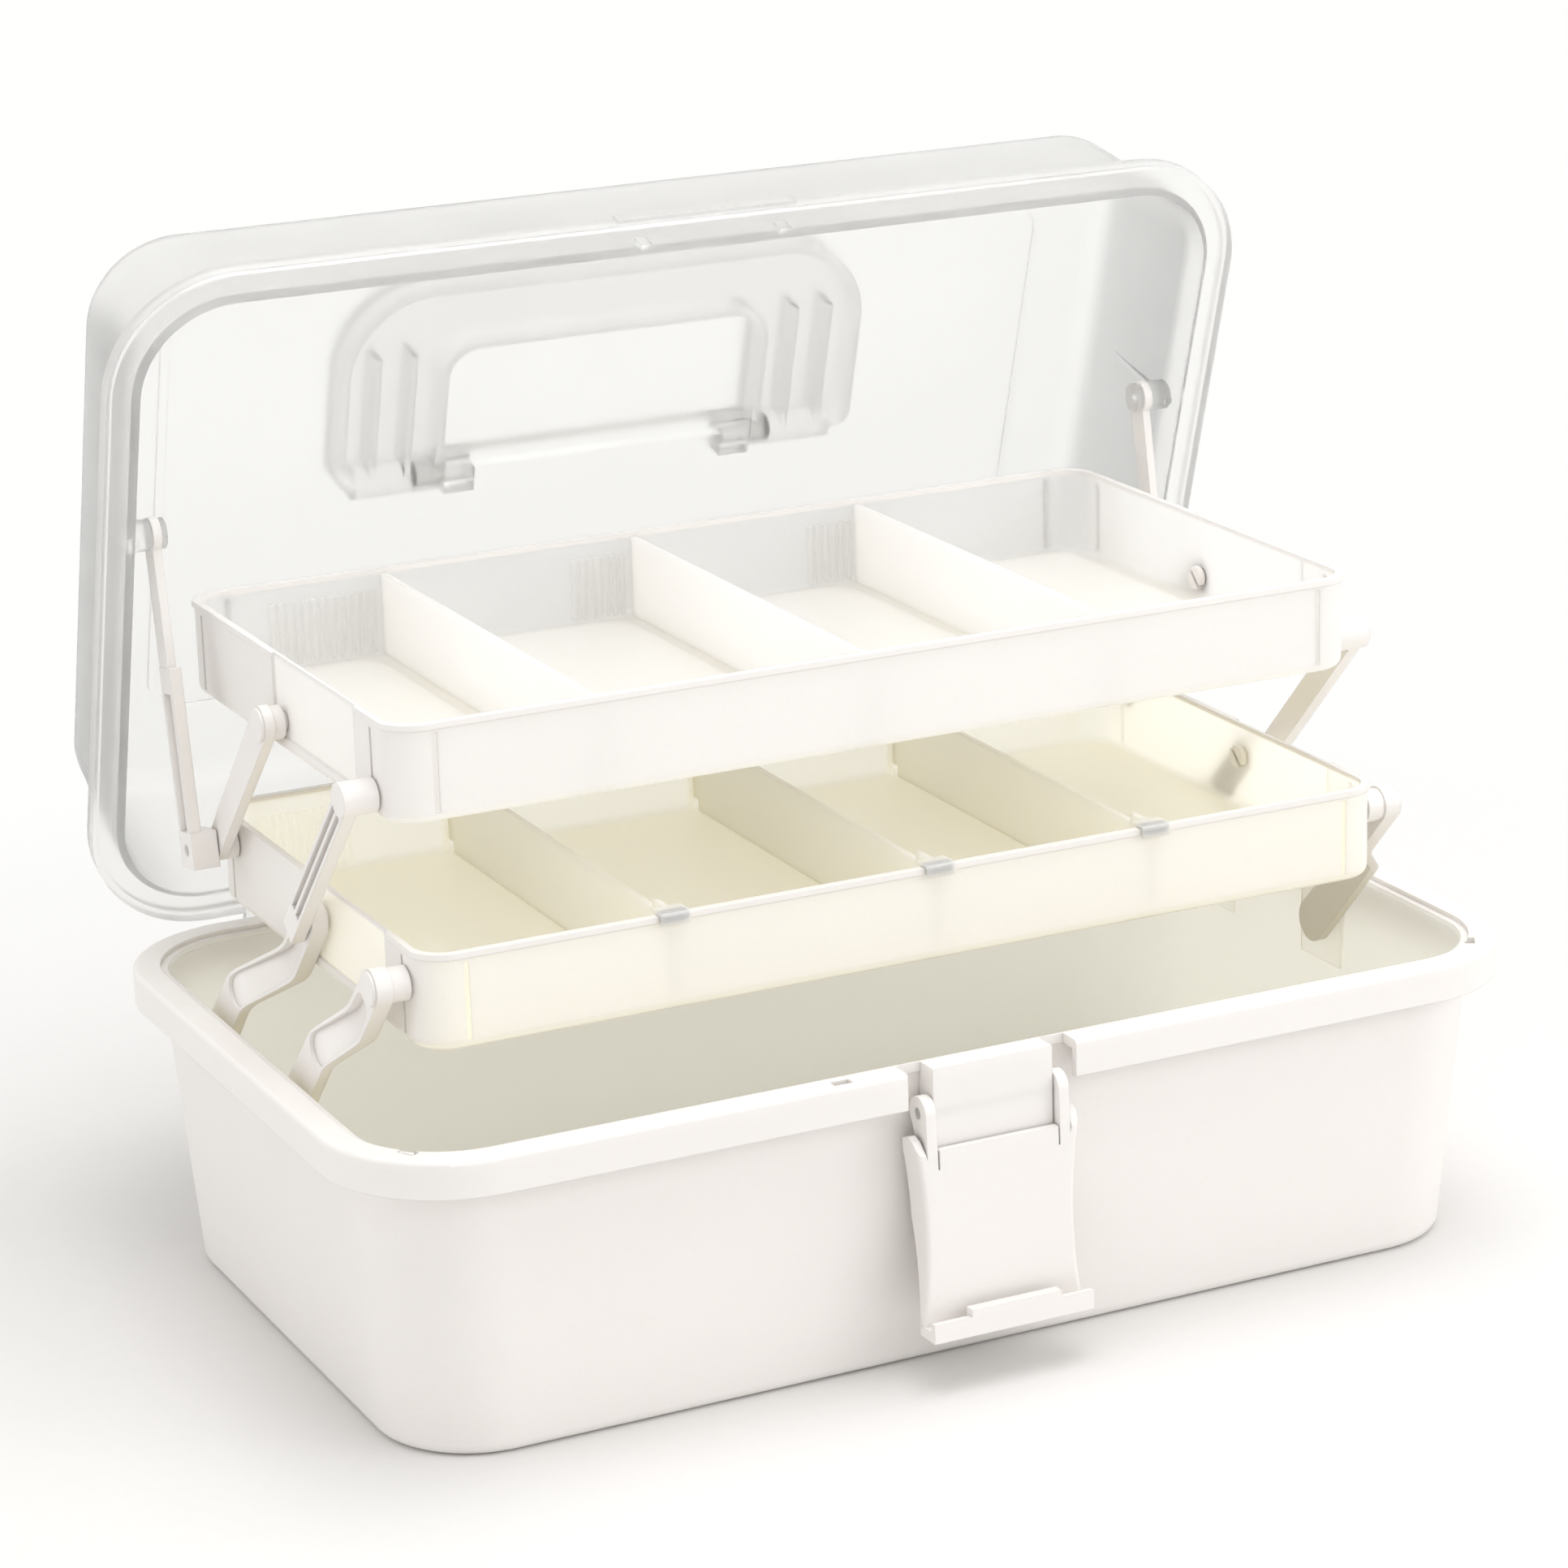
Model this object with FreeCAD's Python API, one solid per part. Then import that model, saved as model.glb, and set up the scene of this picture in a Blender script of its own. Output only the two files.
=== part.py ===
import FreeCAD, Part

import math
import os

# Craft organizer box: an open bottom box with two cantilever trays and a clear lid with a handle.
# Millimetres. X runs along the length, -Y is the front with the latch, +Z is up.
# The origin is the middle of the underside. Everything is modelled with the lid open.

V = FreeCAD.Vector

# Bottom box
rim_length = 330.0
rim_depth = 200.0
base_height = 82.6
rim_corner_radius = 34.0
rim_overhang = 7.0
rim_plate = 2.6
rim_edge_radius = 1.2
skirt_height = 9.6
skirt_thickness = 2.0
wall_draft_inset = 5.6
base_wall = 2.3
base_floor = 2.6
base_bottom_edge_radius = 3.0
rim_ledge_width = 2.0
rim_ledge_depth = 1.2
rim_slot_length = 5.0
rim_slot_width = 2.6
corner_slot_inset_x = 15.0
corner_slot_inset_y = 13.9
corner_slot_turn = 60.0
front_slot_x = -40.2
front_slot_inset = 3.4

# Trays
tray_depth_less = 52.8
tray_height = 25.3
tray_wall = 1.8
tray_floor = 1.8
tray_corner_radius = 9.5
tray_bottom_edge_radius = 3.0
tray_lip_width = 0.7
tray_lip_height = 1.6
groove_width = 1.2
groove_depth = 0.9
groove_side_inset = 11.6
groove_end_inset = 13.0
groove_margin = 2.6
end_panel_step = 0.8
end_panel_setback = 4.5
end_panel_front = 24.0
upper_divider_x = (-80.0, -6.0, 63.0)
lower_divider_x = (-69.5, 4.0, 66.5)
divider_thickness = 1.6
divider_top_gap = 1.2
floor_pad_margin = 6.5
floor_pad_height = 1.4
floor_pad_radius = 6.0
guide_rib_width = 1.2
guide_rib_depth = 1.4
rib_pitch = 2.4
rib_width = 1.3
rib_depth = 0.6
rib_height = 18.0
upper_rib_runs = (31.0, 17.0, 13.5)
lower_rib_start = 12.0
lower_rib_run = 24.0
lift_clearance = 0.35
divider_tab_width = 8.0
divider_tab_drop = 2.2
divider_tab_thickness = 1.0
divider_tab_neck = 8.0
divider_foot_notch = 3.2

# Folding arms, seen from the right: angle is counted from +Y towards +Z
hinge_setback = 2.6
hinge_drop = 6.8
lid_open_angle = 72.6
lower_arm_length = 66.5
lower_arm_angle = 134.3
upper_arm_length = 60.5
upper_arm_angle = 133.8
rear_pivot_y = 48.5
arm_spacing = 56.5
pivot_drop = 17.1
lower_pin_height = 16.4
lower_pin_setback = 6.55
upper_pin_height = 5.96
upper_pin_setback = 61.6
link_foot_setback = 63.95
link_foot_rise = 2.4
lid_seat_reach = 122.9
lid_seat_rise = 15.46
arm_end_radius = 4.9
knob_radius = 4.4
knob_proud = 0.8
foot_radius = 6.0
front_foot_length = 38.0
rear_foot_length = 34.0
jog_length = 10.0
bend_radius = 6.0
edge_radius = 0.2
foot_plate = 2.8
web_plate = 1.7
rib_plate = 1.4
channel_depth = 4.4
pivot_pin_radius = 2.5
running_clearance = 0.08
side_clearance = 0.4
link_gap = 0.9
snap_head_radius = 3.2
snap_head_length = 1.6
snap_gap = 0.6
snap_slot_width = 1.1
base_pad_depth = 1.3
base_pad_width = 20.0
base_pad_height = 24.0
sight_hole_radius = 1.6
sight_skin = 0.9
front_link_width = 7.2
front_link_rib = 1.2
front_link_depth = 3.6
front_link_foot = 4.4
blade_plate = 2.8
blade_stand_off = 3.0
blade_tail_radius = 4.0
link_bar_width = 8.4
link_bar_plate = 3.2
link_top_width = 6.4
link_top_plate = 2.4
link_top_inset = 0.6
link_jog_share = 0.42
link_jog_length = 7.0
link_foot_half = 4.9
link_dimple_radius = 1.6
link_dimple_depth = 1.0
link_eye_wall = 1.3
lid_stub_radius = 1.4
open_pivot_clearance = 1.8
lid_boss_radius = 4.2
lid_stub_head = 4.1
lid_stub_head_length = 1.2

# Lid
lid_depth_less = 1.6
lid_rear_gap = 0.5
lid_gap = 0.1
lid_height = 52.0
lid_rim_plate = 2.2
lid_rim_overhang = 7.0
lid_bead_height = 2.4
lid_wall = 2.0
lid_end_inset = 10.5
lid_front_inset = 13.2
lid_rear_inset = 10.5
lid_edge_radius = 8.0
lid_top_corner_radius = 24.0
panel_half_length = 132.0
panel_front_margin = 33.4
panel_rear_margin = 36.0
panel_corner_radius = 10.0
panel_step = 1.0
lid_rib_top = 37.0
lid_rib_bottom = 4.0
lid_rib_width = 1.6
lid_rib_depth = 2.4
lid_rib_root = 1.2
catch_half_width = 26.0
catch_depth = 1.0
catch_height = 3.0
prong_height = 5.0
prong_width = 3.2
prong_thickness = 1.5
prong_setback = 3.4

# Lid hinge
hinge_inset = 53.0
hinge_span = 34.0
hinge_barrel_radius = 3.9
hinge_pin_radius = 1.5
hinge_middle = 16.0
hinge_side_gap = 0.4
hinge_notch_gap = 1.1
hinge_leaf_root = 3.0
hinge_leaf_shoulder = 1.2

# Carrying handle, folded flat on the lid towards the front
handle_half_length = 79.0
handle_leg_root_half = 47.5
handle_pivot_s = 97.0
handle_inner_edge = 40.0
handle_outer_edge = 60.0
handle_thickness = 10.0
handle_lift = 0.5
handle_front_corner = 26.0
handle_rear_corner = 4.5
handle_root_corner = 1.5
handle_inner_corner = 9.0
handle_shell = 2.4
handle_rib = 1.8
handle_rib_drop = 1.0
handle_sleeve_inset = 6.0
handle_pin_radius = 3.0
handle_pin_engage = 7.0
handle_pin_tail = 1.0
pivot_block_width = 9.0
pivot_block_length = 9.0
pivot_block_gap = 0.6
bridge_width = 4.8
bridge_height = 6.5
bridge_offset = 5.0

# Latch
latch_pivot_inset = 2.0
latch_pivot_drop = 11.6
latch_tilt = 1.5
tongue_half_width = 16.8
tongue_drop = 21.1
tongue_plate = 2.4
tongue_rib = 2.0
latch_slot_width = 6.8
ear_thickness = 3.0
ear_radius = 4.4
ear_gap = 0.4
ear_foot = 17.0
latch_plate = 2.2
latch_plate_offset = 2.4
latch_plate_top = 9.0
latch_drop = 56.0
latch_flange = 2.2
latch_edge_radius = 1.2
latch_flange_depth = 8.6
latch_flange_top = 5.4
latch_flare = 23.4
latch_waist = 20.8
latch_bottom = 22.7
latch_slit_depth = 14.0
latch_ledge_reach = 5.6
latch_ledge_height = 2.6
latch_lip_height = 2.6
latch_lip_plate = 1.6
latch_step_left = 12.0
latch_step_right = 13.5
latch_step_height = 1.8
latch_pin_radius = 1.4
latch_pin_short = 0.2

# Modelling allowances: how far joined solids reach into each other, and cutting solids past a face
sink = 0.5
pass_by = 1.0

# Places worked out from the sizes above
base_half_x = rim_length / 2
base_half_y = rim_depth / 2
wall_top_x = base_half_x - rim_overhang
wall_top_y = base_half_y - rim_overhang
wall_bottom_x = wall_top_x - wall_draft_inset
wall_bottom_y = wall_top_y - wall_draft_inset
wall_corner_radius = rim_corner_radius - rim_overhang
tray_half_y = (rim_depth - tray_depth_less) / 2
hinge_x = base_half_x - hinge_inset
hinge_y = base_half_y + hinge_setback
hinge_z = base_height - hinge_drop
base_pivot_z = base_height - pivot_drop
front_pivot_y = rear_pivot_y - arm_spacing
tongue_bottom = base_height - tongue_drop
latch_pivot_y = -base_half_y + latch_pivot_inset
latch_pivot_z = base_height - latch_pivot_drop
lid_seat_z = base_height + lid_gap
lid_half_x = base_half_x
lid_half_y = (rim_depth - lid_depth_less) / 2
lid_centre_y = base_half_y - lid_rear_gap - lid_half_y
lid_top_z = lid_seat_z + lid_height


def arm_tip(y, z, length, angle):
    turn = math.radians(angle)
    return y + length * math.cos(turn), z + length * math.sin(turn)


def opened_point(y, z):
    """Where a point of the closed lid lies when the lid is open."""
    turn = math.radians(-lid_open_angle)
    dy = y - hinge_y
    dz = z - hinge_z
    open_y = hinge_y + dy * math.cos(turn) - dz * math.sin(turn)
    open_z = hinge_z + dy * math.sin(turn) + dz * math.cos(turn)
    return open_y, open_z


front_tray_y, front_tray_z = arm_tip(front_pivot_y, base_pivot_z, lower_arm_length, lower_arm_angle)
mid_tray_y, mid_tray_z = arm_tip(rear_pivot_y, base_pivot_z, lower_arm_length, lower_arm_angle)
front_upper_y, front_upper_z = arm_tip(mid_tray_y, mid_tray_z, upper_arm_length, upper_arm_angle)
link_foot_y = mid_tray_y + link_foot_setback
link_foot_z = mid_tray_z + link_foot_rise
rear_upper_y, rear_upper_z = arm_tip(link_foot_y, link_foot_z, upper_arm_length, upper_arm_angle)
lid_seat_y = hinge_y - lid_seat_reach
lid_seat_height = hinge_z + lid_seat_rise
link_top_y, link_top_z = opened_point(lid_seat_y, lid_seat_height)
lower_tray_y = mid_tray_y + lower_pin_setback
lower_tray_bottom = mid_tray_z - lower_pin_height
upper_tray_y = front_upper_y + upper_pin_setback
upper_tray_bottom = front_upper_z - upper_pin_height

# Side by side layers of the folding arms, from the base wall inwards to the trays,
# as distances from the middle plane
wall_at_pivot = wall_bottom_x + wall_draft_inset * base_pivot_z / base_height
base_pad_face = wall_at_pivot - base_wall - base_pad_depth
foot_outer = base_pad_face - side_clearance
foot_inner = foot_outer - foot_plate
link_outer = foot_inner - side_clearance
link_inner = link_outer - link_bar_plate
outer_layer = link_inner - link_gap - channel_depth
inner_layer = outer_layer - side_clearance - channel_depth
blade_inner = inner_layer + blade_stand_off
blade_outer = blade_inner + blade_plate
tray_half_x = inner_layer - side_clearance
link_top_inner = link_inner + link_top_inset
link_top_outer = link_top_inner + link_top_plate
snap_face = tray_half_x - tray_wall - snap_gap


# Shape helpers
def box(x0, x1, y0, y1, z0, z1):
    return Part.makeBox(x1 - x0, y1 - y0, z1 - z0, V(x0, y0, z0))


def rod_x(x0, x1, y, z, radius):
    return Part.makeCylinder(radius, x1 - x0, V(x0, y, z), V(1, 0, 0))


def fuse(shapes):
    return shapes[0].multiFuse(shapes[1:]).removeSplitter()


def cut(shape, tools):
    return shape.cut(tools)


def mirrored(shape):
    return shape.mirror(V(0, 0, 0), V(1, 0, 0))


def rounded_wire(half_x, half_y, radius, z, centre_y=0.0):
    """Rectangle with round corners, as four straight sides and four arcs."""
    points = []
    corners = ((1, 1, 0), (-1, 1, 90), (-1, -1, 180), (1, -1, 270))
    for side_x, side_y, start in corners:
        centre = V(side_x * (half_x - radius), centre_y + side_y * (half_y - radius), z)
        arc = []
        for turn in (0, 45, 90):
            angle = math.radians(start + turn)
            arc.append(centre + V(radius * math.cos(angle), radius * math.sin(angle), 0))
        points.append(arc)
    edges = []
    for index, arc in enumerate(points):
        edges.append(Part.Arc(*arc).toShape())
        following = points[(index + 1) % 4]
        edges.append(Part.LineSegment(arc[2], following[0]).toShape())
    return Part.Wire(edges)


def rounded_block(half_x, half_y, radius, z0, z1, centre_y=0.0):
    face = Part.Face(rounded_wire(half_x, half_y, radius, z0, centre_y))
    return face.extrude(V(0, 0, z1 - z0))


def tapered_block(low, high):
    """Solid between two rounded rectangles, each (half_x, half_y, radius, z, centre_y)."""
    return Part.makeLoft([rounded_wire(*low), rounded_wire(*high)], True, True)


def level_edges(shape, z):
    """Edges that lie wholly at one height."""
    found = []
    for edge in shape.Edges:
        heights = [vertex.Point.z for vertex in edge.Vertexes]
        if max(abs(height - z) for height in heights) < 0.01:
            found.append(edge)
    return found


def polygon_x(points, x0, x1):
    """Outline in Y and Z, extruded along X."""
    corners = [V(x0, y, z) for y, z in points]
    face = Part.Face(Part.makePolygon(corners + corners[:1]))
    return face.extrude(V(x1 - x0, 0, 0))


def bar_x(start, end, width, x0, x1):
    """Round ended bar along +Y, as thick as x0 to x1."""
    body = box(x0, x1, start, end, -width / 2, width / 2)
    ends = [rod_x(x0, x1, start, 0, width / 2), rod_x(x0, x1, end, 0, width / 2)]
    return fuse([body] + ends)


def tapered_bar_x(length, start_radius, end_radius, x0, x1):
    """Round ended bar along +Y that narrows from one end radius to the other."""
    sides = ((0.0, -start_radius), (length, -end_radius), (length, end_radius), (0.0, start_radius))
    body = polygon_x(sides, x0, x1)
    ends = [rod_x(x0, x1, 0, 0, start_radius), rod_x(x0, x1, length, 0, end_radius)]
    return fuse([body] + ends)


def outline_face(corners):
    """Face in X and Y with corners (x, y, radius), each rounded by its radius."""
    arcs = []
    for index, (x, y, radius) in enumerate(corners):
        before = corners[index - 1]
        after = corners[(index + 1) % len(corners)]
        here = V(x, y, 0)
        back = (V(before[0], before[1], 0) - here).normalize()
        ahead = (V(after[0], after[1], 0) - here).normalize()
        half_turn = back.getAngle(ahead) / 2
        run = radius / math.tan(half_turn)
        centre = here + (back + ahead).normalize() * (radius / math.sin(half_turn))
        middle = centre + (here - centre).normalize() * radius
        arcs.append((here + back * run, middle, here + ahead * run))
    edges = []
    for index, arc in enumerate(arcs):
        edges.append(Part.Arc(*arc).toShape())
        edges.append(Part.LineSegment(arc[2], arcs[(index + 1) % len(arcs)][0]).toShape())
    return Part.Face(Part.Wire(edges))


def placed(shape, y, z, angle):
    """Turns a shape built along +Y and moves its pivot to y, z."""
    moved = shape.copy()
    moved.rotate(V(0, 0, 0), V(1, 0, 0), angle)
    moved.translate(V(0, y, z))
    return moved


def save(name, shape):
    if not shape.isValid():
        print("not valid:", name)
    shape.exportStep("parts/" + name + ".step")
    print(name, "solids", len(shape.Solids), "volume", round(shape.Volume))


def save_pair(name, shape):
    save(name + "_right", shape)
    save(name + "_left", mirrored(shape))


# Bottom box
def base_shell():
    outer = tapered_block(
        (wall_bottom_x, wall_bottom_y, wall_corner_radius, 0.0),
        (wall_top_x, wall_top_y, wall_corner_radius, base_height),
    )
    outer = outer.makeFillet(base_bottom_edge_radius, level_edges(outer, 0.0))
    floor_rise = wall_draft_inset * base_floor / base_height
    cavity = tapered_block(
        (
            wall_bottom_x + floor_rise - base_wall,
            wall_bottom_y + floor_rise - base_wall,
            wall_corner_radius - base_wall,
            base_floor,
        ),
        (
            wall_top_x - base_wall,
            wall_top_y - base_wall,
            wall_corner_radius - base_wall,
            base_height,
        ),
    )
    rim = rounded_block(base_half_x, base_half_y, rim_corner_radius, base_height - skirt_height, base_height)
    rim = rim.makeFillet(rim_edge_radius, level_edges(rim, base_height))
    gutter = rounded_block(
        base_half_x - skirt_thickness,
        base_half_y - skirt_thickness,
        rim_corner_radius - skirt_thickness,
        base_height - skirt_height,
        base_height - rim_plate,
    )
    mouth = rounded_block(
        wall_top_x - base_wall,
        wall_top_y - base_wall,
        wall_corner_radius - base_wall,
        base_height - rim_plate,
        base_height,
    )
    ledge = rounded_block(
        wall_top_x - base_wall + rim_ledge_width,
        wall_top_y - base_wall + rim_ledge_width,
        wall_corner_radius - base_wall + rim_ledge_width,
        base_height - rim_ledge_depth,
        base_height,
    )
    shell = fuse([outer, cut(rim, [gutter])])
    return cut(shell, [cavity, mouth, ledge])


def arm_pads():
    """Flat pads inside the end walls where the lower arms turn."""
    pads = []
    for pivot_y in (front_pivot_y, rear_pivot_y):
        y0 = pivot_y - base_pad_width / 2
        z0 = base_pivot_z - base_pad_height / 2
        outer_face = base_pad_face + base_pad_depth + base_wall / 2
        pad = box(base_pad_face, outer_face, y0, y0 + base_pad_width, z0, z0 + base_pad_height)
        pads += [pad, mirrored(pad)]
    return pads


def arm_holes():
    """Bores for the arm pins, closed outside but for a small sight hole."""
    holes = []
    radius = pivot_pin_radius + running_clearance
    for pivot_y in (front_pivot_y, rear_pivot_y):
        bore = rod_x(base_pad_face - pass_by, wall_at_pivot - sight_skin, pivot_y, base_pivot_z, radius)
        sight = rod_x(base_pad_face, base_half_x, pivot_y, base_pivot_z, sight_hole_radius)
        for hole in (bore, sight):
            holes += [hole, mirrored(hole)]
    return holes


def rim_slots():
    """Small slots through the flat of the rim."""
    half = rim_slot_length / 2
    low = base_height - rim_plate - pass_by
    high = base_height + pass_by
    blank = box(-half, half, -rim_slot_width / 2, rim_slot_width / 2, low, high)
    slots = []
    for side in (-1, 1):
        slot = blank.copy()
        slot.rotate(V(0, 0, 0), V(0, 0, 1), side * corner_slot_turn)
        slot.translate(V(side * (base_half_x - corner_slot_inset_x), corner_slot_inset_y - base_half_y, 0))
        slots.append(slot)
    front = blank.copy()
    front.translate(V(front_slot_x, front_slot_inset - base_half_y, 0))
    return slots + [front]


def latch_tongue():
    """Plate that hangs from the rim between the latch slots, with a rib down each side."""
    front = -base_half_y
    plate = box(
        -tongue_half_width, tongue_half_width, front, front + tongue_plate, tongue_bottom, base_height
    )
    ribs = []
    for x0 in (-tongue_half_width, tongue_half_width - tongue_rib):
        ribs.append(box(x0, x0 + tongue_rib, front, -wall_top_y + sink, tongue_bottom, base_height - pass_by))
    return [plate] + ribs


def latch_slots():
    """Openings beside the tongue, through the rim and its skirt."""
    slots = []
    for side in (-1, 1):
        inner = side * tongue_half_width
        outer = side * (tongue_half_width + latch_slot_width)
        x0, x1 = sorted((inner, outer))
        front = -base_half_y - pass_by
        rear = -wall_top_y - side_clearance
        slots.append(box(x0, x1, front, rear, tongue_bottom, base_height + pass_by))
    return slots


def hinge_barrel(centre_x, length):
    return rod_x(centre_x - length / 2, centre_x + length / 2, hinge_y, hinge_z, hinge_barrel_radius)


def base_hinge_lugs():
    """Two knuckles at each rear hinge, standing on the skirt."""
    lugs = []
    end = (hinge_span - hinge_middle) / 2
    for side in (-1, 1):
        for step in (-1, 1):
            centre = side * hinge_x + step * (hinge_span - end) / 2
            x0 = centre - end / 2
            lugs.append(hinge_barrel(centre, end))
            lugs.append(
                box(
                    x0,
                    x0 + end,
                    base_half_y - skirt_thickness,
                    hinge_y,
                    hinge_z - hinge_barrel_radius,
                    hinge_z + hinge_barrel_radius,
                )
            )
    return lugs


def base_hinge_cuts():
    """Room for the lid's knuckles, and the bores of the hinge pins."""
    cuts = []
    half_notch = hinge_middle / 2 + hinge_side_gap
    half_bore = hinge_span / 2 + pass_by
    for side in (-1, 1):
        centre = side * hinge_x
        notch = box(
            centre - half_notch,
            centre + half_notch,
            hinge_y - hinge_barrel_radius - hinge_notch_gap,
            hinge_y + hinge_barrel_radius + pass_by,
            hinge_z - hinge_barrel_radius - hinge_notch_gap,
            base_height + pass_by,
        )
        bore = rod_x(centre - half_bore, centre + half_bore, hinge_y, hinge_z, hinge_pin_radius)
        cuts += [notch, bore]
    return cuts


def latch_pin_bore():
    half = tongue_half_width + pass_by
    return rod_x(-half, half, latch_pivot_y, latch_pivot_z, latch_pin_radius)


def make_base():
    shape = base_shell()
    shape = fuse([shape] + arm_pads() + base_hinge_lugs())
    shape = cut(shape, latch_slots() + base_hinge_cuts() + arm_holes() + rim_slots())
    shape = fuse([shape] + latch_tongue())
    return cut(shape, [latch_pin_bore()])


# Trays
def tray_shell(centre_y, bottom):
    top = bottom + tray_height
    outer = rounded_block(tray_half_x, tray_half_y, tray_corner_radius, bottom, top, centre_y)
    outer = outer.makeFillet(tray_bottom_edge_radius, level_edges(outer, bottom))
    inner = rounded_block(
        tray_half_x - tray_wall,
        tray_half_y - tray_wall,
        tray_corner_radius - tray_wall,
        bottom + tray_floor,
        top,
        centre_y,
    )
    inner = inner.makeFillet(
        tray_bottom_edge_radius - tray_wall / 2, level_edges(inner, bottom + tray_floor)
    )
    lip = rounded_block(
        tray_half_x + tray_lip_width,
        tray_half_y + tray_lip_width,
        tray_corner_radius + tray_lip_width,
        top - tray_lip_height,
        top,
        centre_y,
    )
    end_room = tray_half_x + side_clearance / 4
    ends = box(
        -end_room,
        end_room,
        centre_y - 2 * tray_half_y,
        centre_y + 2 * tray_half_y,
        bottom,
        top + pass_by,
    )
    return cut(fuse([outer, lip.common(ends)]), [inner])


def tray_grooves(centre_y, bottom):
    """Fine upright grooves beside the rounded corners."""
    z0 = bottom + groove_margin
    z1 = bottom + tray_height - groove_margin
    half = groove_width / 2
    grooves = []
    for side in (-1, 1):
        for edge in (-1, 1):
            x = side * (tray_half_x - groove_side_inset)
            face_y = centre_y + edge * tray_half_y
            grooves.append(box(x - half, x + half, face_y - groove_depth, face_y + groove_depth, z0, z1))
            y = centre_y + edge * (tray_half_y - groove_end_inset)
            face_x = side * tray_half_x
            grooves.append(box(face_x - groove_depth, face_x + groove_depth, y - half, y + half, z0, z1))
    return grooves


def end_panels(centre_y, bottom, rear_y):
    """Shallow step in each end wall, between the two rear pivots and the front groove."""
    y0 = centre_y - tray_half_y + end_panel_front
    y1 = rear_y + arm_end_radius
    z0 = bottom + end_panel_setback
    z1 = bottom + tray_height + pass_by
    panel = box(tray_half_x - end_panel_step, tray_half_x + pass_by, y0, y1, z0, z1)
    return [panel, mirrored(panel)]


def pivot_holes(pivots):
    holes = []
    radius = pivot_pin_radius + running_clearance
    for y, z in pivots:
        hole = rod_x(tray_half_x - tray_wall - pass_by, tray_half_x + pass_by, y, z, radius)
        holes += [hole, mirrored(hole)]
    return holes


def rear_ribs(centre_y, bottom, runs):
    """Rows of fine upright ribs on the rear wall, each run from x0 to x1."""
    wall_y = centre_y + tray_half_y - tray_wall
    z0 = bottom + tray_floor
    ribs = []
    for x0, x1 in runs:
        count = int((x1 - x0) / rib_pitch) + 1
        for index in range(count):
            x = x0 + index * rib_pitch
            ribs.append(
                box(x, x + rib_width, wall_y - rib_depth, wall_y + sink, z0 - sink, z0 + rib_height)
            )
    return ribs


def fixed_divider(x, centre_y, bottom):
    half_y = tray_half_y - tray_wall / 2
    return box(
        x - divider_thickness / 2,
        x + divider_thickness / 2,
        centre_y - half_y,
        centre_y + half_y,
        bottom + tray_floor / 2,
        bottom + tray_height - divider_top_gap,
    )


def floor_pads(centre_y, bottom, bounds):
    """Slightly raised floor of each compartment, with round corners."""
    pads = []
    half_y = tray_half_y - tray_wall - floor_pad_margin
    for x0, x1 in bounds:
        half_x = (x1 - x0) / 2 - floor_pad_margin
        pad = rounded_block(
            half_x,
            half_y,
            floor_pad_radius,
            bottom + tray_floor / 2,
            bottom + tray_floor + floor_pad_height,
            centre_y,
        )
        pad.translate(V((x0 + x1) / 2, 0, 0))
        pads.append(pad)
    return pads


def compartments(divider_places):
    edges = [-tray_half_x + tray_wall] + list(divider_places) + [tray_half_x - tray_wall]
    return list(zip(edges[:-1], edges[1:]))


def guide_ribs(centre_y, bottom):
    """Pairs of ribs that hold each loose divider at its two ends."""
    ribs = []
    offset = divider_thickness / 2 + lift_clearance
    z0 = bottom + tray_floor - sink
    z1 = bottom + tray_height - groove_margin
    face = tray_half_y - tray_wall
    for x in lower_divider_x:
        for side in (-1, 1):
            inner = x + side * offset
            x0, x1 = sorted((inner, inner + side * guide_rib_width))
            rear = box(x0, x1, centre_y + face - guide_rib_depth, centre_y + face + sink, z0, z1)
            front = box(x0, x1, centre_y - face - sink, centre_y - face + guide_rib_depth, z0, z1)
            ribs += [rear, front]
    return ribs


def make_upper_tray():
    pivots = ((front_upper_y, front_upper_z), (rear_upper_y, rear_upper_z))
    runs = []
    for x, length in zip(upper_divider_x, upper_rib_runs):
        end = x - divider_thickness / 2 - rib_width
        runs.append((end - length, end - rib_width))
    shape = tray_shell(upper_tray_y, upper_tray_bottom)
    shape = cut(shape, tray_grooves(upper_tray_y, upper_tray_bottom))
    shape = cut(shape, end_panels(upper_tray_y, upper_tray_bottom, rear_upper_y))
    added = [fixed_divider(x, upper_tray_y, upper_tray_bottom) for x in upper_divider_x]
    added += floor_pads(upper_tray_y, upper_tray_bottom, compartments(upper_divider_x))
    added += rear_ribs(upper_tray_y, upper_tray_bottom, runs)
    return cut(fuse([shape] + added), pivot_holes(pivots))


def make_lower_tray():
    pivots = (
        (front_tray_y, front_tray_z),
        (mid_tray_y, mid_tray_z),
        (link_foot_y, link_foot_z),
    )
    start = lower_rib_start - tray_half_x
    runs = ((start, start + lower_rib_run),)
    shape = tray_shell(lower_tray_y, lower_tray_bottom)
    shape = cut(shape, tray_grooves(lower_tray_y, lower_tray_bottom))
    shape = cut(shape, end_panels(lower_tray_y, lower_tray_bottom, mid_tray_y))
    added = rear_ribs(lower_tray_y, lower_tray_bottom, runs)
    added += guide_ribs(lower_tray_y, lower_tray_bottom)
    return cut(fuse([shape] + added), pivot_holes(pivots))


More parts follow.
